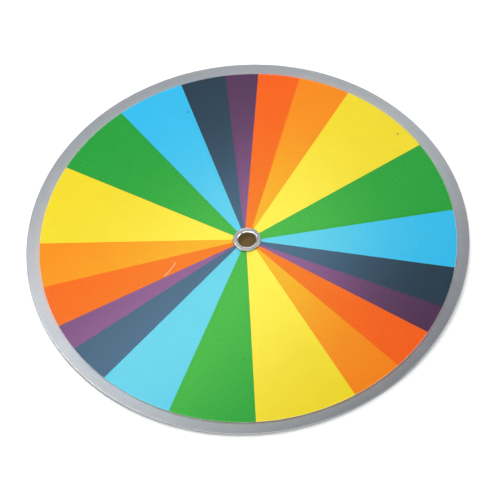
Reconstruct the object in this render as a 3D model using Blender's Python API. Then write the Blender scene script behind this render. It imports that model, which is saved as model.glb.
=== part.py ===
"""A spinning colour disc for tabletop games and colour-mixing demonstrations.

A blanked aluminium plate carries three sets of seven coloured film sectors, laid edge to edge
and trimmed round together. An eyelet goes through its centre and is clenched over a washer
behind. The plate turns on the eyelet's barrel, and the eyelet's bore takes the pin or spindle
that holds it all. The origin is on the axis, at the face that the object rests on. +Z points
out of the coloured face.
"""

import math

import bmesh
import bpy
from mathutils import Vector

MM = 0.001

# Driving sizes
PLATE_RADIUS = 100.0 * MM
PLATE_THICKNESS = 1.2 * MM
FACE_RADIUS = 94.2 * MM  # where all the sectors are trimmed
FACE_CENTRE = Vector((0.15 * MM, -0.4 * MM, 0.0))  # the face was trimmed a little off the axis
FILM_THICKNESS = 0.25 * MM
BORE_RADIUS = 4.0 * MM
FLANGE_RADIUS = 6.25 * MM

# Gaps
CLEARANCE = 0.1 * MM  # the bearing's, round the barrel and at both ends, and the glue's thickness
SEAM = 0.05 * MM  # between neighbouring sectors

# The plate's edges: the punch rolls over the face side, and the burr behind is broken by hand
DIE_ROLL = 0.45 * MM
BURR_BREAK = 0.12 * MM
HOLE_BREAK = 0.15 * MM

# The eyelet is drawn from strip and closed over the washer
STRIP_THICKNESS = 0.4 * MM
THROAT_ROUNDING = 0.7 * MM
FLANGE_HEIGHT = 0.75 * MM
FLANGE_ROUNDING = 0.35 * MM
ROOT_FILLET = 0.06 * MM
CLENCH_RADIUS = 5.5 * MM
WASHER_RADIUS = 6.4 * MM
WASHER_THICKNESS = 0.4 * MM
WASHER_ROUNDING = 0.12 * MM

# Heights, from the resting face up
CLENCH_TOP = STRIP_THICKNESS
WASHER_BOTTOM = CLENCH_TOP + CLEARANCE
WASHER_TOP = WASHER_BOTTOM + WASHER_THICKNESS
PLATE_BOTTOM = WASHER_TOP + CLEARANCE
PLATE_TOP = PLATE_BOTTOM + PLATE_THICKNESS
FILM_BOTTOM = PLATE_TOP + CLEARANCE
FILM_TOP = FILM_BOTTOM + FILM_THICKNESS
FLANGE_BOTTOM = FILM_TOP + CLEARANCE
FLANGE_TOP = FLANGE_BOTTOM + FLANGE_HEIGHT

# Radii of the holes round the barrel
BARREL_RADIUS = BORE_RADIUS + STRIP_THICKNESS
RUNNING_HOLE_RADIUS = BARREL_RADIUS + CLEARANCE
FILM_HOLE_RADIUS = FLANGE_RADIUS - 0.45 * MM  # the flange covers the sectors' inner ends

PLATE_STEPS = 144
HUB_STEPS = 64
FILM_ARC_STEP = math.radians(2.5)

# The film is cut by hand, so the three sets differ a little and the cuts don't meet in one
# point. Each row is one sector, anticlockwise from the first cut: its colour, its width in
# degrees at the trimmed edge, and how many mm to the left of the axis its first cut passes.
FIRST_CUT_ANGLE = 4.3
SECTOR_SETS = (
    (
        ("green", 24.0, -0.5),
        ("yellow", 27.5, 0.25),
        ("orange", 15.0, 0.5),
        ("red", 12.0, -0.5),
        ("violet", 9.5, 1.25),
        ("indigo", 13.0, 0.75),
        ("blue", 19.5, 0.5),
    ),
    (
        ("green", 24.0, 0.5),
        ("yellow", 26.5, 0.5),
        ("orange", 14.5, -0.5),
        ("red", 13.5, -0.5),
        ("violet", 8.5, -0.25),
        ("indigo", 12.5, -1.0),
        ("blue", 20.5, -1.0),
    ),
    (
        ("green", 23.5, -0.5),
        ("yellow", 27.5, -0.5),
        ("orange", 14.5, 1.0),
        ("red", 13.0, 0.25),
        ("violet", 9.0, 0.25),
        ("indigo", 13.0, 0.0),
        ("blue", 19.0, 0.25),
    ),
)

# Linear base colour, metallic and roughness
METALS = {
    "aluminium": ((0.42, 0.43, 0.45), 1.0, 0.38),
    "nickel": ((0.60, 0.59, 0.57), 1.0, 0.28),
}
FILMS = {
    "red": ((0.89, 0.13, 0.015), 0.0, 0.42),
    "orange": ((0.92, 0.29, 0.015), 0.0, 0.42),
    "yellow": ((0.93, 0.72, 0.03), 0.0, 0.42),
    "green": ((0.035, 0.36, 0.045), 0.0, 0.42),
    "blue": ((0.03, 0.45, 0.78), 0.0, 0.42),
    "indigo": ((0.028, 0.055, 0.085), 0.0, 0.42),
    "violet": ((0.105, 0.04, 0.105), 0.0, 0.42),
}


def clear_scene():
    for obj in list(bpy.data.objects):
        bpy.data.objects.remove(obj, do_unlink=True)


def make_materials():
    """One Principled material for each metal and each colour of film, by name."""
    materials = {}
    for name, (colour, metallic, roughness) in {**METALS, **FILMS}.items():
        material = bpy.data.materials.new(name)
        material.use_nodes = True
        shader = material.node_tree.nodes["Principled BSDF"]
        shader.inputs["Base Color"].default_value = (*colour, 1.0)
        shader.inputs["Metallic"].default_value = metallic
        shader.inputs["Roughness"].default_value = roughness
        materials[name] = material
    return materials


def add_empty(name):
    marker = bpy.data.objects.new(name, None)
    bpy.context.scene.collection.objects.link(marker)
    return marker


def add_object(name, mesh, material, parent):
    obj = bpy.data.objects.new(name, mesh)
    mesh.materials.append(material)
    obj.parent = parent
    bpy.context.scene.collection.objects.link(obj)
    return obj


def corner(centre_radius, centre_height, rounding, start, end, steps):
    """Profile points (radius, height) round a corner, from one angle in degrees to the other."""
    points = []
    for step in range(steps + 1):
        angle = math.radians(start + (end - start) * step / steps)
        radius = centre_radius + rounding * math.cos(angle)
        height = centre_height + rounding * math.sin(angle)
        points.append((radius, height))
    return points


def add_turned(name, profile, steps, material, parent):
    """A closed profile turned about Z. It runs outwards over the top and down the outer side."""
    count = len(profile)
    mesh = bpy.data.meshes.new(name)
    mesh.from_pydata(
        [(radius, 0.0, height) for radius, height in profile],
        [(index, (index + 1) % count) for index in range(count)],
        [],
    )
    obj = add_object(name, mesh, material, parent)
    screw = obj.modifiers.new("turn", "SCREW")
    screw.axis = "Z"
    screw.angle = math.tau
    screw.steps = steps
    screw.render_steps = steps
    screw.use_merge_vertices = True
    screw.merge_threshold = 0.000001
    screw.use_smooth_shade = True
    return obj


def add_plate(material, parent):
    """The blanked plate, with its hole and its two kinds of edge."""
    hole_side = RUNNING_HOLE_RADIUS + HOLE_BREAK
    profile = [
        *corner(hole_side, PLATE_TOP - HOLE_BREAK, HOLE_BREAK, 180, 90, 2),
        *corner(PLATE_RADIUS - DIE_ROLL, PLATE_TOP - DIE_ROLL, DIE_ROLL, 90, 0, 4),
        *corner(PLATE_RADIUS - BURR_BREAK, PLATE_BOTTOM + BURR_BREAK, BURR_BREAK, 0, -90, 2),
        *corner(hole_side, PLATE_BOTTOM + HOLE_BREAK, HOLE_BREAK, -90, -180, 2),
    ]
    return add_turned("backing_plate", profile, PLATE_STEPS, material, parent)


def add_eyelet(material, parent):
    """Flange, throat, barrel and clenched end, in one drawn piece."""
    mouth = STRIP_THICKNESS  # the bore opens behind, where the strip turns outwards
    throat_side = BORE_RADIUS + THROAT_ROUNDING
    flange_side = FLANGE_RADIUS - FLANGE_ROUNDING
    curl = STRIP_THICKNESS / 2
    profile = [
        *corner(BORE_RADIUS + mouth, mouth, mouth, 270, 180, 4),
        *corner(throat_side, FLANGE_TOP - THROAT_ROUNDING, THROAT_ROUNDING, 180, 90, 6),
        *corner(flange_side, FLANGE_TOP - FLANGE_ROUNDING, FLANGE_ROUNDING, 90, 0, 4),
        (FLANGE_RADIUS, FLANGE_BOTTOM + ROOT_FILLET),
        (FLANGE_RADIUS - ROOT_FILLET, FLANGE_BOTTOM),
        (BARREL_RADIUS + ROOT_FILLET, FLANGE_BOTTOM),
        (BARREL_RADIUS, FLANGE_BOTTOM - ROOT_FILLET),
        (BARREL_RADIUS, CLENCH_TOP + ROOT_FILLET),
        (BARREL_RADIUS + ROOT_FILLET, CLENCH_TOP),
        *corner(CLENCH_RADIUS - curl, curl, curl, 90, -90, 6),
    ]
    return add_turned("eyelet", profile, HUB_STEPS, material, parent)


def add_washer(material, parent):
    """The washer that the eyelet's end is clenched over."""
    side = WASHER_RADIUS - WASHER_ROUNDING
    profile = [
        (RUNNING_HOLE_RADIUS, WASHER_TOP),
        *corner(side, WASHER_TOP - WASHER_ROUNDING, WASHER_ROUNDING, 90, 0, 2),
        *corner(side, WASHER_BOTTOM + WASHER_ROUNDING, WASHER_ROUNDING, 0, -90, 2),
        (RUNNING_HOLE_RADIUS, WASHER_BOTTOM),
    ]
    return add_turned("eyelet_washer", profile, HUB_STEPS, material, parent)


def list_cuts():
    """For each sector its name, its colour, and the direction and left offset of its first cut."""
    cuts = []
    edge_angle = FIRST_CUT_ANGLE
    for set_number, sectors in enumerate(SECTOR_SETS, start=1):
        for colour, width, left_mm in sectors:
            left = left_mm * MM
            direction = math.radians(edge_angle) - math.asin(left / FACE_RADIUS)
            cuts.append((f"{colour}_sector_{set_number}", colour, direction, left))
            edge_angle += width
    return cuts


def crossing(direction, left, centre, radius):
    """The angle, about a circle's centre, at which a straight cut crosses that circle."""
    normal = Vector((-math.sin(direction), math.cos(direction), 0.0))
    return direction + math.asin((left - centre.dot(normal)) / radius)


def arc_points(centre, radius, start, end):
    steps = max(1, math.ceil(abs(end - start) / FILM_ARC_STEP))
    points = []
    for step in range(steps + 1):
        angle = start + (end - start) * step / steps
        points.append(centre + Vector((math.cos(angle), math.sin(angle), 0.0)) * radius)
    return points


def add_sector(name, first_cut, last_cut, material, parent):
    """The film between two straight cuts, from under the flange to the trimmed edge."""
    axis = Vector((0.0, 0.0, 0.0))
    outline = arc_points(
        FACE_CENTRE,
        FACE_RADIUS,
        crossing(*first_cut, FACE_CENTRE, FACE_RADIUS),
        crossing(*last_cut, FACE_CENTRE, FACE_RADIUS),
    )
    outline += arc_points(
        axis,
        FILM_HOLE_RADIUS,
        crossing(*last_cut, axis, FILM_HOLE_RADIUS),
        crossing(*first_cut, axis, FILM_HOLE_RADIUS),
    )
    shape = bmesh.new()
    face = shape.faces.new([shape.verts.new(point) for point in outline])
    raised = bmesh.ops.extrude_face_region(shape, geom=[face])
    top = [item for item in raised["geom"] if isinstance(item, bmesh.types.BMVert)]
    bmesh.ops.translate(shape, verts=top, vec=(0.0, 0.0, FILM_THICKNESS))
    bmesh.ops.recalc_face_normals(shape, faces=shape.faces)
    mesh = bpy.data.meshes.new(name)
    shape.to_mesh(mesh)
    shape.free()
    obj = add_object(name, mesh, material, parent)
    obj.location.z = FILM_BOTTOM
    return obj


def add_sectors(materials, parent):
    """Every sector, from its own cut to the next sector's, with half a seam off each side."""
    cuts = list_cuts()
    _, _, first_direction, first_left = cuts[0]
    next_cuts = [cut[2:] for cut in cuts[1:]] + [(first_direction + math.tau, first_left)]
    for (name, colour, direction, left), (next_direction, next_left) in zip(cuts, next_cuts):
        add_sector(
            name,
            (direction, left + SEAM / 2),
            (next_direction, next_left - SEAM / 2),
            materials[colour],
            parent,
        )


def build():
    clear_scene()
    materials = make_materials()
    hub = add_empty("hub")
    disc = add_empty("disc")  # turns on the hub about Z
    add_eyelet(materials["nickel"], hub)
    add_washer(materials["nickel"], hub)
    add_plate(materials["aluminium"], disc)
    add_sectors(materials, disc)


build()
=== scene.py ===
import math

import bmesh
import bpy
from mathutils import Matrix, Vector


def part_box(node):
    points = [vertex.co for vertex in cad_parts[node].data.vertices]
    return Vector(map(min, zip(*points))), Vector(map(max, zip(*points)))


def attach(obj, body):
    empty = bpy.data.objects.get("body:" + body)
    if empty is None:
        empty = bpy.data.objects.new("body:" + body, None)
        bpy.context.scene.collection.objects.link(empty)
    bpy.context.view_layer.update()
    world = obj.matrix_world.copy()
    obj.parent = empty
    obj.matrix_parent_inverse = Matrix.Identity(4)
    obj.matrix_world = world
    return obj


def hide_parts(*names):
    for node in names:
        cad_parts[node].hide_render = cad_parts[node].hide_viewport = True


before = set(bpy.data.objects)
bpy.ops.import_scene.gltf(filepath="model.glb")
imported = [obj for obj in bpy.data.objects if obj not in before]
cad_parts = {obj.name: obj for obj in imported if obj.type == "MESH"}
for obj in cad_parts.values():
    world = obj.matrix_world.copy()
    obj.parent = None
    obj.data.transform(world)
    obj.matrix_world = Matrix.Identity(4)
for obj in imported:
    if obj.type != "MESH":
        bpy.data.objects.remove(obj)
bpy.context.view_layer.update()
mm = 0.001


def addNode(tree, kind, **settings):
    node = tree.nodes.new(kind)
    for name, value in settings.items():
        setattr(node, name, value)
    return node


def feed(tree, socket, value):
    # a value is another node's output, or a plain number, colour or vector
    if isinstance(value, bpy.types.NodeSocket):
        tree.links.new(value, socket)
    else:
        socket.default_value = value


def calc(tree, operation, *values, clamp=False):
    node = addNode(tree, "ShaderNodeMath", operation=operation, use_clamp=clamp)
    for socket, value in zip(node.inputs, values):
        feed(tree, socket, value)
    return node.outputs[0]


def vectorCalc(tree, operation, *values, scale=None):
    node = addNode(tree, "ShaderNodeVectorMath", operation=operation)
    for socket, value in zip(node.inputs, values):
        feed(tree, socket, value)
    if scale is not None:
        feed(tree, node.inputs["Scale"], scale)
    return node.outputs["Value" if operation in ("LENGTH", "DOT_PRODUCT", "DISTANCE") else "Vector"]


def mix(tree, factor, first, second, kind="RGBA"):
    node = addNode(tree, "ShaderNodeMix", data_type=kind, clamp_factor=kind == "RGBA")
    start = {"FLOAT": 2, "VECTOR": 4, "RGBA": 6}[kind]
    for index, value in zip((0, start, start + 1), (factor, first, second)):
        feed(tree, node.inputs[index], value)
    return node.outputs[start // 2 - 1]


def remap(tree, value, low, high, newLow=0.0, newHigh=1.0, smooth=False):
    node = addNode(tree, "ShaderNodeMapRange", interpolation_type="SMOOTHSTEP" if smooth else "LINEAR")
    for name, given in zip(("Value", "From Min", "From Max", "To Min", "To Max"),
                           (value, low, high, newLow, newHigh)):
        feed(tree, node.inputs[name], given)
    return node.outputs[0]


def noise(tree, position, scale, detail=2.0, roughness=0.5):
    node = addNode(tree, "ShaderNodeTexNoise")
    for name, value in (("Vector", position), ("Scale", scale), ("Detail", detail), ("Roughness", roughness)):
        feed(tree, node.inputs[name], value)
    return node.outputs["Fac"]


def splitXyz(tree, vector):
    node = addNode(tree, "ShaderNodeSeparateXYZ")
    feed(tree, node.inputs[0], vector)
    return node.outputs


def joinXyz(tree, x=0.0, y=0.0, z=0.0):
    node = addNode(tree, "ShaderNodeCombineXYZ")
    for socket, value in zip(node.inputs, (x, y, z)):
        feed(tree, socket, value)
    return node.outputs[0]


def flatOffset(tree, position, centre=(0, 0, 0)):
    # from a centre to a position, measured flat on the disc
    return vectorCalc(tree, "MULTIPLY", vectorCalc(tree, "SUBTRACT", position, centre), (1, 1, 0))


def vary(tree, base, height, amount):
    # a value that strays either side of its base with the grain
    return calc(tree, "MULTIPLY_ADD", calc(tree, "SUBTRACT", height, 0.5), amount, base)


def makeTree(name, kind, inputs, outputs):
    # inputs and outputs are (name, socket type, default)
    tree = bpy.data.node_groups.new(name, kind)
    for direction, sockets in (("INPUT", inputs), ("OUTPUT", outputs)):
        for socketName, socketType, default in sockets:
            kindName = "NodeSocket" + socketType
            socket = tree.interface.new_socket(socketName, in_out=direction, socket_type=kindName)
            if default is not None:
                socket.default_value = default
    return tree, addNode(tree, "NodeGroupInput").outputs, addNode(tree, "NodeGroupOutput").inputs


def finishTree(tree, mesh, position, material, output):
    # moves the grid's points into place, closes the seams and sets the material
    move = addNode(tree, "GeometryNodeSetPosition")
    feed(tree, move.inputs["Geometry"], mesh)
    feed(tree, move.inputs["Position"], position)
    weld = addNode(tree, "GeometryNodeMergeByDistance")
    feed(tree, weld.inputs["Geometry"], move.outputs[0])
    feed(tree, weld.inputs["Distance"], 0.0005 * mm)
    real = addNode(tree, "GeometryNodeRealizeInstances")
    feed(tree, real.inputs["Geometry"], weld.outputs[0])
    paint = addNode(tree, "GeometryNodeSetMaterial")
    feed(tree, paint.inputs["Geometry"], real.outputs[0])
    feed(tree, paint.inputs["Material"], material)
    feed(tree, output, paint.outputs[0])


def makeGrid(tree, across, up):
    # a unit grid, its mesh, and how far across and up it each point lies, from 0 to 1
    grid = addNode(tree, "GeometryNodeMeshGrid")
    for name, value in (("Size X", 1.0), ("Size Y", 1.0), ("Vertices X", across), ("Vertices Y", up)):
        feed(tree, grid.inputs[name], value)
    place = splitXyz(tree, addNode(tree, "GeometryNodeInputPosition").outputs[0])
    return grid.outputs["Mesh"], calc(tree, "ADD", place["X"], 0.5), calc(tree, "ADD", place["Y"], 0.5)


def makeTurnTree():
    # spins a profile's points about the axis into a closed ring
    tree, given, result = makeTree("turnedRing", "GeometryNodeTree", (
        ("Profile", "Geometry", None),
        ("Steps", "Int", 96),
        ("Finish", "Material", None),
    ), (("Ring", "Geometry", None),))
    size = addNode(tree, "GeometryNodeAttributeDomainSize")
    feed(tree, size.inputs["Geometry"], given["Profile"])
    count = size.outputs["Point Count"]
    columns = calc(tree, "ADD", given["Steps"], 1.0)
    mesh, around, along = makeGrid(tree, columns, calc(tree, "ADD", count, 1.0))
    # each row of the grid takes one point of the profile, and the last row takes the first again
    row = calc(tree, "ROUND", calc(tree, "MULTIPLY", along, count))
    sample = addNode(tree, "GeometryNodeSampleIndex", data_type="FLOAT_VECTOR", domain="POINT")
    feed(tree, sample.inputs["Geometry"], given["Profile"])
    feed(tree, sample.inputs["Value"], addNode(tree, "GeometryNodeInputPosition").outputs[0])
    feed(tree, sample.inputs["Index"], calc(tree, "MODULO", row, count))
    turn = addNode(tree, "ShaderNodeVectorRotate", rotation_type="Z_AXIS")
    feed(tree, turn.inputs["Vector"], sample.outputs[0])
    feed(tree, turn.inputs["Angle"], calc(tree, "MULTIPLY", around, math.tau))
    finishTree(tree, mesh, turn.outputs[0], given["Finish"], result["Ring"])
    return tree


def makeSectorTree():
    # the sector's sides are straight cuts, and each row across it is an arc from one to the other
    tree, given, result = makeTree("filmSector", "GeometryNodeTree", (
        ("Geometry", "Geometry", None),
        ("First Inner", "Vector", None),
        ("First Outer", "Vector", None),
        ("Last Inner", "Vector", None),
        ("Last Outer", "Vector", None),
        ("Trim Centre", "Vector", None),
        ("Bottom", "Float", 0.0),
        ("Top", "Float", 0.001),
        ("Rows", "Int", 24),
        ("Columns", "Int", 24),
        ("Finish", "Material", None),
    ), (("Sector", "Geometry", None),))
    mesh, across, outwards = makeGrid(tree, given["Columns"], given["Rows"])
    centre = vectorCalc(tree, "SCALE", given["Trim Centre"], scale=outwards)
    cuts = [
        mix(tree, outwards, given[side + " Inner"], given[side + " Outer"], "VECTOR") for side in ("First", "Last")
    ]
    first, last = [vectorCalc(tree, "SUBTRACT", cut, centre) for cut in cuts]
    start = splitXyz(tree, first)
    cross = splitXyz(tree, vectorCalc(tree, "CROSS_PRODUCT", first, last))
    sweep = calc(tree, "ARCTAN2", cross["Z"], vectorCalc(tree, "DOT_PRODUCT", first, last))
    angle = calc(tree, "MULTIPLY_ADD", across, sweep, calc(tree, "ARCTAN2", start["Y"], start["X"]))
    firstRadius = vectorCalc(tree, "LENGTH", first)
    gain = calc(tree, "SUBTRACT", vectorCalc(tree, "LENGTH", last), firstRadius)
    radius = calc(tree, "MULTIPLY_ADD", across, gain, firstRadius)
    point = joinXyz(tree, calc(tree, "MULTIPLY", radius, calc(tree, "COSINE", angle)),
                    calc(tree, "MULTIPLY", radius, calc(tree, "SINE", angle)), given["Bottom"])
    flat = addNode(tree, "GeometryNodeSetPosition")
    feed(tree, flat.inputs["Geometry"], mesh)
    feed(tree, flat.inputs["Position"], vectorCalc(tree, "ADD", point, centre))
    lift = addNode(tree, "GeometryNodeExtrudeMesh", mode="FACES")
    feed(tree, lift.inputs["Mesh"], flat.outputs[0])
    feed(tree, lift.inputs["Offset"], joinXyz(tree, z=calc(tree, "SUBTRACT", given["Top"], given["Bottom"])))
    feed(tree, lift.inputs["Individual"], False)
    under = addNode(tree, "GeometryNodeFlipFaces")
    feed(tree, under.inputs["Mesh"], flat.outputs[0])
    shell = addNode(tree, "GeometryNodeJoinGeometry")
    feed(tree, shell.inputs[0], lift.outputs["Mesh"])
    feed(tree, shell.inputs[0], under.outputs[0])
    stay = addNode(tree, "GeometryNodeInputPosition").outputs[0]
    finishTree(tree, shell.outputs[0], stay, given["Finish"], result["Sector"])
    return tree


def growFromTree(name, source, tree, values):
    # runs the tree on a source mesh and keeps the result as a plain mesh
    seed = bpy.data.objects.new(name + "Seed", source)
    bpy.context.scene.collection.objects.link(seed)
    modifier = seed.modifiers.new("grow", "NODES")
    modifier.node_group = tree
    for item in tree.interface.items_tree:
        if item.in_out == "INPUT" and item.name in values:
            modifier[item.identifier] = values[item.name]
    bpy.context.view_layer.update()
    evaluated = seed.evaluated_get(bpy.context.evaluated_depsgraph_get())
    mesh = bpy.data.meshes.new_from_object(evaluated)
    mesh.name = name
    bpy.data.objects.remove(seed)
    piece = bpy.data.objects.new(name, mesh)
    bpy.context.scene.collection.objects.link(piece)
    return piece


def finishMesh(mesh, sharpAngle):
    shape = bmesh.new()
    shape.from_mesh(mesh)
    bmesh.ops.recalc_face_normals(shape, faces=shape.faces)
    shape.to_mesh(mesh)
    shape.free()
    mesh.shade_smooth()
    mesh.set_sharp_from_angle(angle=math.radians(sharpAngle))


def place(piece, body, node, slot):
    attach(piece, body)
    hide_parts(node)


def corner(x, z, rounding, start, end, steps):
    # points round a profile's corner, between two angles in degrees
    angles = [math.radians(start + (end - start) * step / steps) for step in range(steps + 1)]
    return [(x + rounding * math.cos(a), z + rounding * math.sin(a)) for a in angles]


def holdFlats(profile, hold=0.06 * mm):
    # adds a point close to each end of a long straight, so the rounding's shading stops there
    held = []
    for (x, z), (nextX, nextZ) in zip(profile, profile[1:] + profile[:1]):
        length = math.hypot(nextX - x, nextZ - z)
        held.append((x, z))
        if length > 4 * hold:
            for share in (hold / length, 1 - hold / length):
                held.append((x + (nextX - x) * share, z + (nextZ - z) * share))
    return held


def turned(name, profile, steps, material):
    points = holdFlats(profile)
    mesh = bpy.data.meshes.new(name + "Profile")
    count = len(points)
    mesh.from_pydata([(x, 0, z) for x, z in points], [(i, (i + 1) % count) for i in range(count)], [])
    piece = growFromTree(name, mesh, turnTree, {"Steps": steps, "Finish": material})
    finishMesh(piece.data, 35)
    return piece


def ringOf(node):
    # inner and outer radius, bottom and top of a round CAD node
    radii = [vertex.co.xy.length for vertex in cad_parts[node].data.vertices]
    low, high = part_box(node)
    return min(radii), max(radii), low.z, high.z


def makeGrainGroup():
    # fine mottling: a shade round 1, pale flecks, and a height for bump
    tree, given, result = makeTree("fineGrain", "ShaderNodeTree", (
        ("Position", "Vector", None),
        ("Grain Scale", "Float", 2.0),
        ("Cloud Scale", "Float", 0.15),
        ("Grain Depth", "Float", 0.05),
        ("Cloud Depth", "Float", 0.03),
    ), (
        ("Shade", "Float", None),
        ("Fleck", "Float", None),
        ("Height", "Float", None),
    ))
    grain = noise(tree, given["Position"], given["Grain Scale"], 3.0, 0.7)
    cloud = noise(tree, given["Position"], given["Cloud Scale"], 2.0, 0.5)
    grainShade = calc(tree, "MULTIPLY", calc(tree, "SUBTRACT", grain, 0.5), given["Grain Depth"])
    cloudShade = calc(tree, "MULTIPLY", calc(tree, "SUBTRACT", cloud, 0.5), given["Cloud Depth"])
    feed(tree, result["Shade"], calc(tree, "ADD", calc(tree, "ADD", grainShade, cloudShade), 1.0))
    shifted = vectorCalc(tree, "ADD", given["Position"], (37.0, 11.0, 5.0))
    fleck = noise(tree, shifted, calc(tree, "MULTIPLY", given["Grain Scale"], 0.8), 2.0, 0.7)
    feed(tree, result["Fleck"], remap(tree, fleck, 0.36, 0.64))
    feed(tree, result["Height"], grain)
    return tree


def makeScuffGroup():
    # short fine scratches, in patches where the piece has been handled
    tree, given, result = makeTree("scuffs", "ShaderNodeTree", (
        ("Position", "Vector", None),
        ("Amount", "Float", 0.5),
        ("Stretch", "Float", 14.0),
        ("Turn", "Float", 0.6),
    ), (("Mask", "Float", None),))
    masks = []
    for extraTurn in (0.0, 1.1, 2.2):
        turn = addNode(tree, "ShaderNodeVectorRotate", rotation_type="Z_AXIS")
        feed(tree, turn.inputs["Vector"], given["Position"])
        feed(tree, turn.inputs["Angle"], calc(tree, "ADD", given["Turn"], extraTurn))
        squeeze = joinXyz(tree, calc(tree, "DIVIDE", 1.0, given["Stretch"]), 1.0, 1.0)
        lines = noise(tree, vectorCalc(tree, "MULTIPLY", turn.outputs[0], squeeze), 0.9, 1.0, 0.4)
        offLine = calc(tree, "ABSOLUTE", calc(tree, "SUBTRACT", lines, 0.5))
        masks.append(remap(tree, offLine, 0.0, 0.006, 1.0, 0.0))
    patches = remap(tree, noise(tree, given["Position"], 0.045, 2.0), 0.5, 0.68, smooth=True)
    joined = calc(tree, "MAXIMUM", calc(tree, "MAXIMUM", masks[0], masks[1]), masks[2])
    kept = calc(tree, "MULTIPLY", calc(tree, "MULTIPLY", joined, patches), given["Amount"], clamp=True)
    feed(tree, result["Mask"], kept)
    return tree


def makeBandGroup():
    # a soft band at one distance from a centre, used for worn edges, the darker band round the hub, and the
    # painted shadow and reflection along the film's edge
    tree, given, result = makeTree("bandRoundAxis", "ShaderNodeTree", (
        ("Position", "Vector", None),
        ("Centre", "Vector", None),
        ("Radius", "Float", 10.0),
        ("Half Width", "Float", 1.0),
        ("Breakup", "Float", 0.5),
        ("Breakup Scale", "Float", 0.35),
    ), (("Mask", "Float", None),))
    flat = flatOffset(tree, given["Position"], given["Centre"])
    away = calc(tree, "ABSOLUTE", calc(tree, "SUBTRACT", vectorCalc(tree, "LENGTH", flat), given["Radius"]))
    outside = remap(tree, calc(tree, "DIVIDE", away, given["Half Width"]), 0.0, 1.0, smooth=True)
    band = calc(tree, "SUBTRACT", 1.0, outside)
    patchy = remap(tree, noise(tree, given["Position"], given["Breakup Scale"], 3.0), 0.38, 0.64)
    broken = mix(tree, given["Breakup"], 1.0, patchy, "FLOAT")
    feed(tree, result["Mask"], calc(tree, "MULTIPLY", band, broken, clamp=True))
    return tree


def makeDustGroup():
    # scattered specks, one at most in each cell of a coarse pattern
    tree, given, result = makeTree("dustSpecks", "ShaderNodeTree", (
        ("Position", "Vector", None),
        ("Spacing", "Float", 9.0),
        ("Size", "Float", 0.25),
        ("Share", "Float", 0.3),
    ), (("Mask", "Float", None),))
    cells = addNode(tree, "ShaderNodeTexVoronoi")
    feed(tree, cells.inputs["Vector"], given["Position"])
    feed(tree, cells.inputs["Scale"], calc(tree, "DIVIDE", 1.0, given["Spacing"]))
    away = calc(tree, "MULTIPLY", cells.outputs["Distance"], given["Spacing"])
    chance = splitXyz(tree, cells.outputs["Color"])
    speckSize = calc(tree, "MULTIPLY", given["Size"], calc(tree, "ADD", chance["Y"], 0.4))
    speck = remap(tree, calc(tree, "DIVIDE", away, speckSize), 0.5, 1.0, 1.0, 0.0)
    chosen = calc(tree, "LESS_THAN", chance["X"], given["Share"])
    feed(tree, result["Mask"], calc(tree, "MULTIPLY", speck, chosen))
    return tree


def makeSpotGroup():
    # one soft round mark at a given place
    tree, given, result = makeTree("spotMark", "ShaderNodeTree", (
        ("Position", "Vector", None),
        ("Centre", "Vector", None),
        ("Size", "Float", 0.5),
    ), (("Mask", "Float", None),))
    flat = flatOffset(tree, given["Position"], given["Centre"])
    away = calc(tree, "DIVIDE", vectorCalc(tree, "LENGTH", flat), given["Size"])
    feed(tree, result["Mask"], calc(tree, "SUBTRACT", 1.0, remap(tree, away, 0.3, 1.0, smooth=True)))
    return tree


def makeScratchGroup():
    # one long bowed scratch between two places
    tree, given, result = makeTree("scratchMark", "ShaderNodeTree", (
        ("Position", "Vector", None),
        ("From", "Vector", None),
        ("To", "Vector", None),
        ("Bow", "Float", 0.5),
        ("Half Width", "Float", 0.25),
    ), (("Mask", "Float", None),))
    run = vectorCalc(tree, "SUBTRACT", given["To"], given["From"])
    reach = flatOffset(tree, given["Position"], given["From"])
    length = vectorCalc(tree, "LENGTH", run)
    heading = vectorCalc(tree, "NORMALIZE", run)
    along = calc(tree, "DIVIDE", vectorCalc(tree, "DOT_PRODUCT", reach, heading), length)
    side = splitXyz(tree, vectorCalc(tree, "CROSS_PRODUCT", heading, reach))["Z"]
    hump = calc(tree, "MULTIPLY", calc(tree, "MULTIPLY", along, calc(tree, "SUBTRACT", 1.0, along)), 4.0)
    off = calc(tree, "ABSOLUTE", calc(tree, "SUBTRACT", side, calc(tree, "MULTIPLY", hump, given["Bow"])))
    outside = remap(tree, calc(tree, "DIVIDE", off, given["Half Width"]), 0.2, 1.0, smooth=True)
    line = calc(tree, "SUBTRACT", 1.0, outside)
    ends = remap(tree, hump, 0.0, 0.5, smooth=True)
    feed(tree, result["Mask"], calc(tree, "MULTIPLY", line, ends, clamp=True))
    return tree


def useGroup(tree, group, **values):
    node = addNode(tree, "ShaderNodeGroup")
    node.node_tree = group
    for name, value in values.items():
        socketName = "".join(" " + letter if letter.isupper() else letter for letter in name).title()
        feed(tree, node.inputs[socketName], value)
    return node.outputs


def startMaterial(name):
    # returns the material, its tree, its Principled shader, and Object coordinates in mm
    material = bpy.data.materials.new(name)
    material.use_nodes = True
    tree = material.node_tree
    coordinates = addNode(tree, "ShaderNodeTexCoord").outputs["Object"]
    return material, tree, tree.nodes["Principled BSDF"], vectorCalc(tree, "SCALE", coordinates, scale=1 / mm)


def addBump(tree, shader, height, distance):
    bump = addNode(tree, "ShaderNodeBump")
    feed(tree, bump.inputs["Height"], height)
    feed(tree, bump.inputs["Distance"], distance)
    feed(tree, shader.inputs["Normal"], bump.outputs[0])


def layer(tree, mask, strength, under, colour):
    return mix(tree, calc(tree, "MULTIPLY", mask, strength, clamp=True), under, (*colour, 1))


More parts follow.
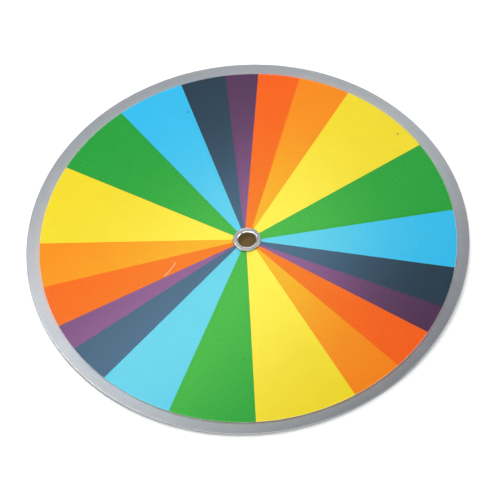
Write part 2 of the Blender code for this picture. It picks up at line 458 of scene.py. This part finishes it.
filmLook = {
    "roughness": 0.22,
    "index": 1.85,
    "grainDepth": 0.10,
    "cloudDepth": 0.07,
    "fleck": 0.018,
    "darkFleck": 0.008,  # the same on the two darkest films
    "scuffs": 0.10,
    "peel": 0.004 * mm,  # height of the faint orange peel
    "cutEdge": (0.035, 0.026, 0.022),
    "specks": (((73.3, 51.7, 0), 0.75), ((-22.4, 74.3, 0), 0.75), ((-6.0, -62.3, 0), 0.45)),
    "scratch": ((-38.8, -15.9, 0), (-32.6, -8.2, 0), -0.5),
    "colours": {  # pigment, and the tint of the sheen off it
        "red": ((0.580, 0.056, 0.001), (0.03, 0.37, 0.04)),
        "orange": ((0.660, 0.118, 0.001), (0.10, 1.00, 0.06)),
        "yellow": ((0.570, 0.432, 0.001), (0.60, 0.74, 0.24)),
        "green": ((0.001, 0.196, 0.022), (0.19, 0.56, 0.09)),
        "blue": ((0.001, 0.300, 0.555), (0.41, 0.63, 0.05)),
        "indigo": ((0.005, 0.012, 0.018), (0.22, 0.42, 0.65)),
        "violet": ((0.020, 0.008, 0.022), (0.80, 0.36, 0.80)),
    },
}


def makeFilm(colourName):
    pigment, sheenTint = filmLook["colours"][colourName]
    material, tree, shader, position = startMaterial(colourName + "Film")
    grain = useGroup(tree, grainGroup, position=position, grainScale=1.5, cloudScale=0.12,
                     grainDepth=filmLook["grainDepth"], cloudDepth=filmLook["cloudDepth"])
    scuffs = useGroup(tree, scuffGroup, position=position, amount=filmLook["scuffs"], turn=0.4)["Mask"]
    # darkens the film in a soft band round the eyelet's flange edge
    flangeEdgeDarkening = useGroup(tree, bandGroup, position=position, radius=hubRadius / mm + 0.2, halfWidth=0.9,
                     breakup=0.6)["Mask"]
    dust = useGroup(tree, dustGroup, position=position, spacing=11.0, size=0.3, share=0.25)["Mask"]
    colour = vectorCalc(tree, "SCALE", pigment, scale=grain["Shade"])
    fleck = filmLook["fleck" if max(pigment) > 0.06 else "darkFleck"]
    colour = layer(tree, grain["Fleck"], fleck, colour, (0.8, 0.8, 0.8))
    colour = layer(tree, scuffs, 0.10, colour, (0.75, 0.75, 0.75))
    colour = layer(tree, flangeEdgeDarkening, 0.12, colour, (0.06, 0.05, 0.04))
    colour = layer(tree, dust, 0.25, colour, (0.30, 0.28, 0.25))
    for centre, size in filmLook["specks"]:
        speck = useGroup(tree, spotGroup, position=position, centre=centre, size=size)["Mask"]
        colour = layer(tree, speck, 0.75, colour, (0.03, 0.03, 0.02))
    start, end, bow = filmLook["scratch"]
    ends = {"from": start, "to": end}
    scratch = useGroup(tree, scratchGroup, position=position, bow=bow, halfWidth=0.45, **ends)["Mask"]
    colour = layer(tree, scratch, 0.16, colour, (0.85, 0.85, 0.85))
    cut = remap(tree, splitXyz(tree, position)["Z"], filmTop / mm - 0.025, filmTop / mm - 0.004, 1.0, 0.0)
    feed(tree, shader.inputs["Base Color"], layer(tree, cut, 0.9, colour, filmLook["cutEdge"]))
    uneven = vary(tree, filmLook["roughness"], grain["Height"], 0.08)
    dulled = calc(tree, "MAXIMUM", scuffs, cut)
    feed(tree, shader.inputs["Roughness"], calc(tree, "MULTIPLY_ADD", dulled, 0.3, uneven))
    shader.inputs["IOR"].default_value = filmLook["index"]
    shader.inputs["Specular IOR Level"].default_value = 1.0
    shader.inputs["Specular Tint"].default_value = (*sheenTint, 1)
    height = calc(tree, "MULTIPLY_ADD", grain["Height"], 0.12, noise(tree, position, 0.55, 2.0))
    addBump(tree, shader, height, filmLook["peel"])
    return material


plateLook = {
    "colour": (0.30, 0.315, 0.335),
    "roughness": 0.34,
    "rollingStretch": 18.0,  # how much longer than wide the rolling lines are
    "sideColour": (0.30, 0.31, 0.30),
    "shearedShare": 0.35,  # share of the side that the punch left smooth
    "edgeShadow": (0.24, 0.14, 0.09),  # painted shadow and brown reflection along the film's trimmed edge
    "edgeShadowStrength": 0.8,
    # the side towards which the painted edge shadow is darkest
    "edgeShadowSide": (0.64, -0.77, 0),
    "arrisWear": 0.15,
    "filmReflection": 0.14,  # how much film colour is painted onto the bare rim beside it, as a painted reflection
    "filmReflectionWidth": 3.4,
    "filmReflectionColours": {
        "red": (0.75, 0.20, 0.15), "orange": (0.80, 0.42, 0.15), "yellow": (0.62, 0.60, 0.30),
        "green": (0.20, 0.50, 0.32), "blue": (0.18, 0.55, 0.78), "indigo": (0.22, 0.36, 0.52),
        "violet": (0.36, 0.30, 0.50),
    },
}


def makeFilmReflectionRamp(tree, position):
    # the neighbouring film's colour for the painted reflection on the rim, read off by the angle about the axis
    parts = splitXyz(tree, position)
    turn = calc(tree, "FRACT", calc(tree, "DIVIDE", calc(tree, "ARCTAN2", parts["Y"], parts["X"]), math.tau))
    stops = []
    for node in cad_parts:
        if "_sector_" in node:
            ends = [cornersOf(node)[side + " Outer"] for side in ("First", "Last")]
            middle = math.atan2(ends[0].y + ends[1].y, ends[0].x + ends[1].x) / math.tau % 1
            stops.append((middle, (*plateLook["filmReflectionColours"][node.split("_")[0]], 1)))
    stops.sort()
    ramp = addNode(tree, "ShaderNodeValToRGB")
    feed(tree, ramp.inputs[0], turn)
    ends = ramp.color_ramp.elements
    ends[0].position, ends[1].position = 0.0, 1.0
    ends[0].color = ends[1].color = [(first + last) / 2 for first, last in zip(stops[0][1], stops[-1][1])]
    for middle, colour in stops:
        ends.new(middle).color = colour
    return ramp.outputs[0]


def makePlateFinish():
    material, tree, shader, position = startMaterial("rolledAluminium")
    radius = plateRadius / mm
    stretched = vectorCalc(tree, "MULTIPLY", position, (1 / plateLook["rollingStretch"], 1, 1))
    rolled = useGroup(tree, grainGroup, position=stretched, grainScale=5.0, cloudScale=0.5,
                      grainDepth=0.16, cloudDepth=0.08)
    cloud = useGroup(tree, grainGroup, position=position, grainScale=1.6, cloudScale=0.05,
                     grainDepth=0.14, cloudDepth=0.12)
    scuffs = useGroup(tree, scuffGroup, position=position, amount=0.8, turn=1.3)["Mask"]
    arris = useGroup(tree, bandGroup, position=position, radius=radius - 0.42, halfWidth=0.3, breakup=0.9,
                     breakupScale=0.8)["Mask"]
    # painted shadow and brown reflection in a band along the film's trimmed edge
    edgeShadow = useGroup(tree, bandGroup, position=position, centre=trimCentre, radius=trimRadius, halfWidth=1.3,
                       breakup=0.45, breakupScale=0.12)["Mask"]
    height = splitXyz(tree, position)["Z"]
    faceSide = remap(tree, height, plateTop / mm - 0.3, plateTop / mm - 0.1)  # the film's side of the plate
    # painted shadow: darkest on the side towards the lower right, faint elsewhere
    lean = vectorCalc(tree, "DOT_PRODUCT", position, plateLook["edgeShadowSide"])
    leaning = remap(tree, calc(tree, "DIVIDE", lean, radius), 0.0, 0.9, 0.12, 1.0, smooth=True)
    edgeShadow = calc(tree, "MULTIPLY", calc(tree, "MULTIPLY", edgeShadow, faceSide), leaning)
    dust = useGroup(tree, dustGroup, position=position, spacing=7.0, size=0.3, share=0.3)["Mask"]
    shade = calc(tree, "MULTIPLY", rolled["Shade"], cloud["Shade"])
    colour = vectorCalc(tree, "SCALE", plateLook["colour"], scale=shade)
    # painted reflection: the rim next to the film is tinted with the films' colours
    filmReflection = useGroup(tree, bandGroup, position=position, centre=trimCentre, radius=trimRadius, breakup=0.3,
                     halfWidth=plateLook["filmReflectionWidth"])["Mask"]
    filmReflection = calc(tree, "MULTIPLY", calc(tree, "MULTIPLY", filmReflection, faceSide), plateLook["filmReflection"])
    colour = mix(tree, filmReflection, colour, makeFilmReflectionRamp(tree, position))
    colour = layer(tree, scuffs, 0.35, colour, (0.8, 0.8, 0.8))
    colour = layer(tree, arris, plateLook["arrisWear"], colour, (0.70, 0.71, 0.72))
    colour = layer(tree, dust, 0.3, colour, (0.25, 0.24, 0.22))
    # the painted shadow and brown reflection along the film's edge
    colour = layer(tree, edgeShadow, plateLook["edgeShadowStrength"], colour, plateLook["edgeShadow"])
    # the side is darker, and torn below the smooth sheared band
    across = vectorCalc(tree, "LENGTH", flatOffset(tree, position))
    side = remap(tree, across, radius - 0.12, radius - 0.02)
    torn = remap(tree, height, tornTop / mm, tornTop / mm - 0.1)
    feed(tree, shader.inputs["Base Color"], layer(tree, side, 0.8, colour, plateLook["sideColour"]))
    shader.inputs["Metallic"].default_value = 1.0
    rough = calc(tree, "MULTIPLY_ADD", calc(tree, "MULTIPLY", torn, side), 0.25, plateLook["roughness"])
    rough = vary(tree, rough, rolled["Height"], 0.12)
    rough = calc(tree, "MULTIPLY_ADD", edgeShadow, 0.2, rough)
    feed(tree, shader.inputs["Roughness"], calc(tree, "MULTIPLY_ADD", arris, -0.08, rough))
    addBump(tree, shader, calc(tree, "MULTIPLY_ADD", scuffs, -0.4, rolled["Height"]), 0.004 * mm)
    return material


nickelLook = {
    "colour": (0.29, 0.29, 0.30),
    "roughness": 0.28,
    "worn": (0.60, 0.58, 0.54),  # where the plating has rubbed thin
    "rubbed": (0.78, 0.76, 0.73),  # the throat, kept bright by the pin
}


def makeNickel():
    material, tree, shader, position = startMaterial("nickelPlate")
    grain = useGroup(tree, grainGroup, position=position, grainScale=3.0, cloudScale=0.6,
                     grainDepth=0.16, cloudDepth=0.16)
    scuffs = useGroup(tree, scuffGroup, position=position, amount=1.0, stretch=6.0, turn=0.9)["Mask"]
    wear = useGroup(tree, bandGroup, position=position, radius=hubRadius / mm - 0.3, halfWidth=0.5,
                    breakup=0.7)["Mask"]
    colour = vectorCalc(tree, "SCALE", nickelLook["colour"], scale=grain["Shade"])
    colour = layer(tree, wear, 0.5, colour, nickelLook["worn"])
    across = vectorCalc(tree, "LENGTH", flatOffset(tree, position))
    rubbed = remap(tree, across, boreRadius / mm + 0.50, boreRadius / mm + 0.34, smooth=True)
    feed(tree, shader.inputs["Base Color"], layer(tree, rubbed, 1.0, colour, nickelLook["rubbed"]))
    shader.inputs["Metallic"].default_value = 1.0
    rough = vary(tree, nickelLook["roughness"], grain["Height"], 0.15)
    rough = calc(tree, "MULTIPLY_ADD", rubbed, -0.08, rough)
    feed(tree, shader.inputs["Roughness"], calc(tree, "MULTIPLY_ADD", scuffs, 0.1, rough))
    addBump(tree, shader, calc(tree, "MULTIPLY_ADD", scuffs, -0.5, grain["Height"]), 0.003 * mm)
    return material


plateShape = {
    "steps": 360,
    "dieRoll": 0.45 * mm,
    "burrBreak": 0.12 * mm,
    "holeBreak": 0.15 * mm,
    "inset": 0.001 * mm,
}


def makePlate():
    hole, radius, bottom, top = ringOf("backing_plate")
    roll, burr, lip = plateShape["dieRoll"], plateShape["burrBreak"], plateShape["holeBreak"]
    radius -= plateShape["inset"]
    profile = [
        *corner(hole + lip, top - lip, lip, 180, 90, 4),
        *corner(radius - roll, top - roll, roll, 90, 0, 10),
        *corner(radius - burr, bottom + burr, burr, 0, -90, 4),
        *corner(hole + lip, bottom + lip, lip, -90, -180, 4),
    ]
    plate = turned("plate", profile, plateShape["steps"], makePlateFinish())
    place(plate, "disc", "backing_plate", "aluminium")


eyeletShape = {
    "steps": 128,
    "strip": 0.4 * mm,  # thickness of the drawn strip
    "throat": 0.7 * mm,
    "flangeHeight": 0.75 * mm,
    "flangeRounding": 0.30 * mm,
    "stepRadius": 5.25 * mm,  # a shallow step pressed round the flange
    "stepDepth": 0.05 * mm,
    "rootFillet": 0.06 * mm,
    "clenchRadius": 5.5 * mm,
}


def makeEyelet(material):
    bore, flange, bottom, top = ringOf("eyelet")
    strip, throat, rounding = eyeletShape["strip"], eyeletShape["throat"], eyeletShape["flangeRounding"]
    root, step, drop = eyeletShape["rootFillet"], eyeletShape["stepRadius"], eyeletShape["stepDepth"]
    underside = top - eyeletShape["flangeHeight"]
    barrel, curl = bore + strip, strip / 2
    profile = [
        *corner(bore + strip, bottom + strip, strip, 270, 180, 6),
        *corner(bore + throat, top - throat, throat, 180, 90, 12),
        *corner(step, top - drop, drop, 90, 30, 3),
        *corner(flange - rounding, top - drop - rounding, rounding, 90, 0, 8),
        *corner(flange - root, underside + root, root, 0, -90, 2),
        *corner(barrel + root, underside - root, root, 90, 180, 2),
        *corner(barrel + root, bottom + strip + root, root, 180, 270, 2),
        *corner(eyeletShape["clenchRadius"] - curl, bottom + curl, curl, 90, -90, 10),
    ]
    place(turned("drawnEyelet", profile, eyeletShape["steps"], material), "hub", "eyelet", "nickel")


washerShape = {"steps": 128, "rounding": 0.12 * mm}


def makeWasher(material):
    hole, radius, bottom, top = ringOf("eyelet_washer")
    edge = washerShape["rounding"]
    lip = edge / 2
    profile = [
        *corner(hole + lip, top - lip, lip, 180, 90, 3),
        *corner(radius - edge, top - edge, edge, 90, 0, 5),
        *corner(radius - edge, bottom + edge, edge, 0, -90, 5),
        *corner(hole + lip, bottom + lip, lip, -90, -180, 3),
    ]
    place(turned("backWasher", profile, washerShape["steps"], material), "hub", "eyelet_washer", "nickel")


sectorShape = {
    "rows": 12,
    "degreesPerColumn": 0.75,
    "seamClosed": 0.02 * mm,  # how far each side moves out to meet its neighbour
    "edgeRounding": 0.05 * mm,
}


def cornersOf(node):
    # a sector's four corners: where its two cuts meet the hole and the trimmed edge
    points = [vertex.co.copy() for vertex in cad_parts[node].data.vertices]
    middle = sum(points, Vector()) / len(points)
    turnBack = Matrix.Rotation(-math.atan2(middle.y, middle.x), 3, "Z")
    halfway = max(point.xy.length for point in points) / 2

    def angleOf(point):
        back = turnBack @ point
        return math.atan2(back.y, back.x)

    found = {}
    for end, group in (("Inner", [point for point in points if point.xy.length < halfway]),
                       ("Outer", [point for point in points if point.xy.length >= halfway])):
        found["First " + end] = min(group, key=angleOf)
        found["Last " + end] = max(group, key=angleOf)
    return found


def roundTrimmedEdge(mesh, top):
    shape = bmesh.new()
    shape.from_mesh(mesh)
    reach = max(vertex.co.xy.length for vertex in shape.verts) * 0.985
    edges = [
        edge for edge in shape.edges
        if edge.calc_face_angle(0) > 1
        and all(vertex.co.z > top - 0.01 * mm and vertex.co.xy.length > reach for vertex in edge.verts)
        and abs((edge.verts[0].co - edge.verts[1].co).normalized().dot(edge.verts[0].co.normalized())) < 0.5
    ]
    bmesh.ops.bevel(shape, geom=edges, offset=sectorShape["edgeRounding"], segments=3, profile=0.5,
                    affect="EDGES", clamp_overlap=True)
    shape.to_mesh(mesh)
    shape.free()


def makeSector(node, material):
    corners = cornersOf(node)
    low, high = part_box(node)
    width = corners["First Outer"].xy.angle_signed(corners["Last Outer"].xy)
    columns = max(4, round(math.degrees(abs(width)) / sectorShape["degreesPerColumn"])) + 1
    values = {"Bottom": low.z, "Top": high.z, "Rows": sectorShape["rows"], "Columns": columns,
              "Trim Centre": [axis * mm for axis in trimCentre], "Finish": material}
    for side, sign in (("First", -1), ("Last", 1)):
        along = (corners[side + " Outer"] - corners[side + " Inner"]).normalized()
        outwards = Vector((-along.y, along.x, 0)) * sign * sectorShape["seamClosed"]
        for end in (" Inner", " Outer"):
            point = corners[side + end] + outwards
            values[side + end] = (point.x, point.y, 0)
    piece = growFromTree(node.replace("_sector_", "Film"), bpy.data.meshes.new("empty"), sectorTree, values)
    roundTrimmedEdge(piece.data, high.z)
    finishMesh(piece.data, 10)
    place(piece, "disc", node, node.split("_")[0] + "_film")


turnTree = makeTurnTree()
sectorTree = makeSectorTree()
grainGroup = makeGrainGroup()
scuffGroup = makeScuffGroup()
bandGroup = makeBandGroup()
dustGroup = makeDustGroup()
spotGroup = makeSpotGroup()
scratchGroup = makeScratchGroup()
print("geometry and shader groups built")

trimCentre = (0.15, -0.4, 0)  # mm, middle of the round the film was trimmed to
trimRadius = 94.2  # mm
boreRadius, hubRadius = ringOf("eyelet")[:2]
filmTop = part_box("green_sector_1")[1].z
plateRadius, plateBottom, plateTop = ringOf("backing_plate")[1:]
tornTop = plateTop - plateShape["dieRoll"] - (plateTop - plateBottom) * plateLook["shearedShare"]

makePlate()
nickel = makeNickel()
makeEyelet(nickel)
makeWasher(nickel)
print("plate, eyelet and washer turned")

films = {name: makeFilm(name) for name in filmLook["colours"]}
for node in sorted(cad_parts):
    if "_sector_" in node:
        makeSector(node, films[node.split("_")[0]])
print("film sectors laid")


stageLook = {
    "floorSize": 6.0,
    "floorHeight": -0.05 * mm,
    "floorColour": (0.90, 0.90, 0.90),
    "patchSize": 0.014,
    "patchHeight": -0.02 * mm,
    "patchColour": (0.118, 0.078, 0.032),  # the dark table seen through the hole
    "skyGlow": 0.10,
    "horizonGlow": 0.80,
}


def makeSheet(name, size, height, colour):
    half = size / 2
    mesh = bpy.data.meshes.new(name)
    corners = [(x * half, y * half, height) for x, y in ((-1, -1), (1, -1), (1, 1), (-1, 1))]
    mesh.from_pydata(corners, [], [(0, 1, 2, 3)])
    sheet = bpy.data.objects.new(name, mesh)
    bpy.context.scene.collection.objects.link(sheet)
    material, tree, shader, position = startMaterial(name + "Paper")
    grain = useGroup(tree, grainGroup, position=position, grainScale=0.8, grainDepth=0.04, cloudDepth=0.02)
    feed(tree, shader.inputs["Base Color"], vectorCalc(tree, "SCALE", colour, scale=grain["Shade"]))
    shader.inputs["Roughness"].default_value = 0.9
    shader.inputs["Specular IOR Level"].default_value = 0.0
    mesh.materials.append(material)


def makeWorld():
    # bright near the horizon and dim overhead
    world = bpy.data.worlds.new("softRoom")
    world.use_nodes = True
    tree = world.node_tree
    rise = splitXyz(tree, addNode(tree, "ShaderNodeTexCoord").outputs["Generated"])["Z"]
    glow = remap(tree, rise, 0.0, 0.45, stageLook["horizonGlow"], stageLook["skyGlow"], smooth=True)
    feed(tree, tree.nodes["Background"].inputs["Strength"], glow)
    tree.nodes["Background"].inputs["Color"].default_value = (1.0, 1.0, 1.0, 1)
    bpy.context.scene.world = world


lights = {  # where each panel is, where it points, its size, any turn in degrees, its brightness
    "strip": {"at": (-0.03, 0.285, 0.50), "to": (-0.03, 0.285, 0), "size": (0.10, 0.24), "glow": 3.0,
              "turn": -47},
    "left": {"at": (-0.27, 0.12, 0.50), "to": (-0.27, 0.12, 0), "size": (0.10, 0.34), "glow": 20.0},
    "right": {"at": (0.25, 0.55, 0.50), "to": (0.25, 0.55, 0), "size": (0.12, 0.12), "glow": 20.0},
    "back": {"at": (-0.1, 1.5, 0.75), "to": (0, 0, 0), "size": (0.7, 0.35), "glow": 17.0},
    "key": {"at": (0.75, 0.0, 0.55), "to": (0, 0, 0), "size": (0.6, 0.5), "glow": 4.7},
    "front": {"at": (-0.2, -1.25, 1.0), "to": (0, 0, 0), "size": (3.0, 2.4), "glow": 1.8},
}


def makeLights():
    for name, look in lights.items():
        lamp = bpy.data.lights.new(name, "AREA")
        lamp.shape = "RECTANGLE"
        lamp.size, lamp.size_y = look["size"]
        lamp.energy = look["glow"] * math.pi * look["size"][0] * look["size"][1]
        holder = bpy.data.objects.new(name, lamp)
        aim = (Vector(look["to"]) - Vector(look["at"])).to_track_quat("-Z", "Y").to_matrix().to_4x4()
        spin = Matrix.Rotation(math.radians(look.get("turn", 0)), 4, "Z")
        holder.matrix_world = Matrix.Translation(look["at"]) @ aim @ spin
        bpy.context.scene.collection.objects.link(holder)


cameraView = {
    "elevation": 56.244,
    "distance": 1.2416,
    "lens": 198.2,
    "roll": -4.76,
    "aim": (0.00090, -0.0052),
}


def makeCamera():
    data = bpy.data.cameras.new("camera")
    data.lens = cameraView["lens"]
    data.clip_start = 0.01
    data.clip_end = 50
    camera = bpy.data.objects.new("camera", data)
    rise = math.radians(cameraView["elevation"])
    target = Vector((*cameraView["aim"], plateTop))
    spot = Vector((0, -math.cos(rise), math.sin(rise))) * cameraView["distance"] + Vector((0, 0, plateTop))
    aim = (target - spot).to_track_quat("-Z", "Y").to_matrix().to_4x4()
    roll = Matrix.Rotation(math.radians(cameraView["roll"]), 4, "Z")
    camera.matrix_world = Matrix.Translation(spot) @ aim @ roll
    bpy.context.scene.collection.objects.link(camera)
    bpy.context.scene.camera = camera


makeSheet("floor", stageLook["floorSize"], stageLook["floorHeight"], stageLook["floorColour"])
makeSheet("table", stageLook["patchSize"], stageLook["patchHeight"], stageLook["patchColour"])
makeWorld()
makeLights()
makeCamera()
bpy.context.scene.view_settings.view_transform = "Standard"
print("stage, light and camera set")
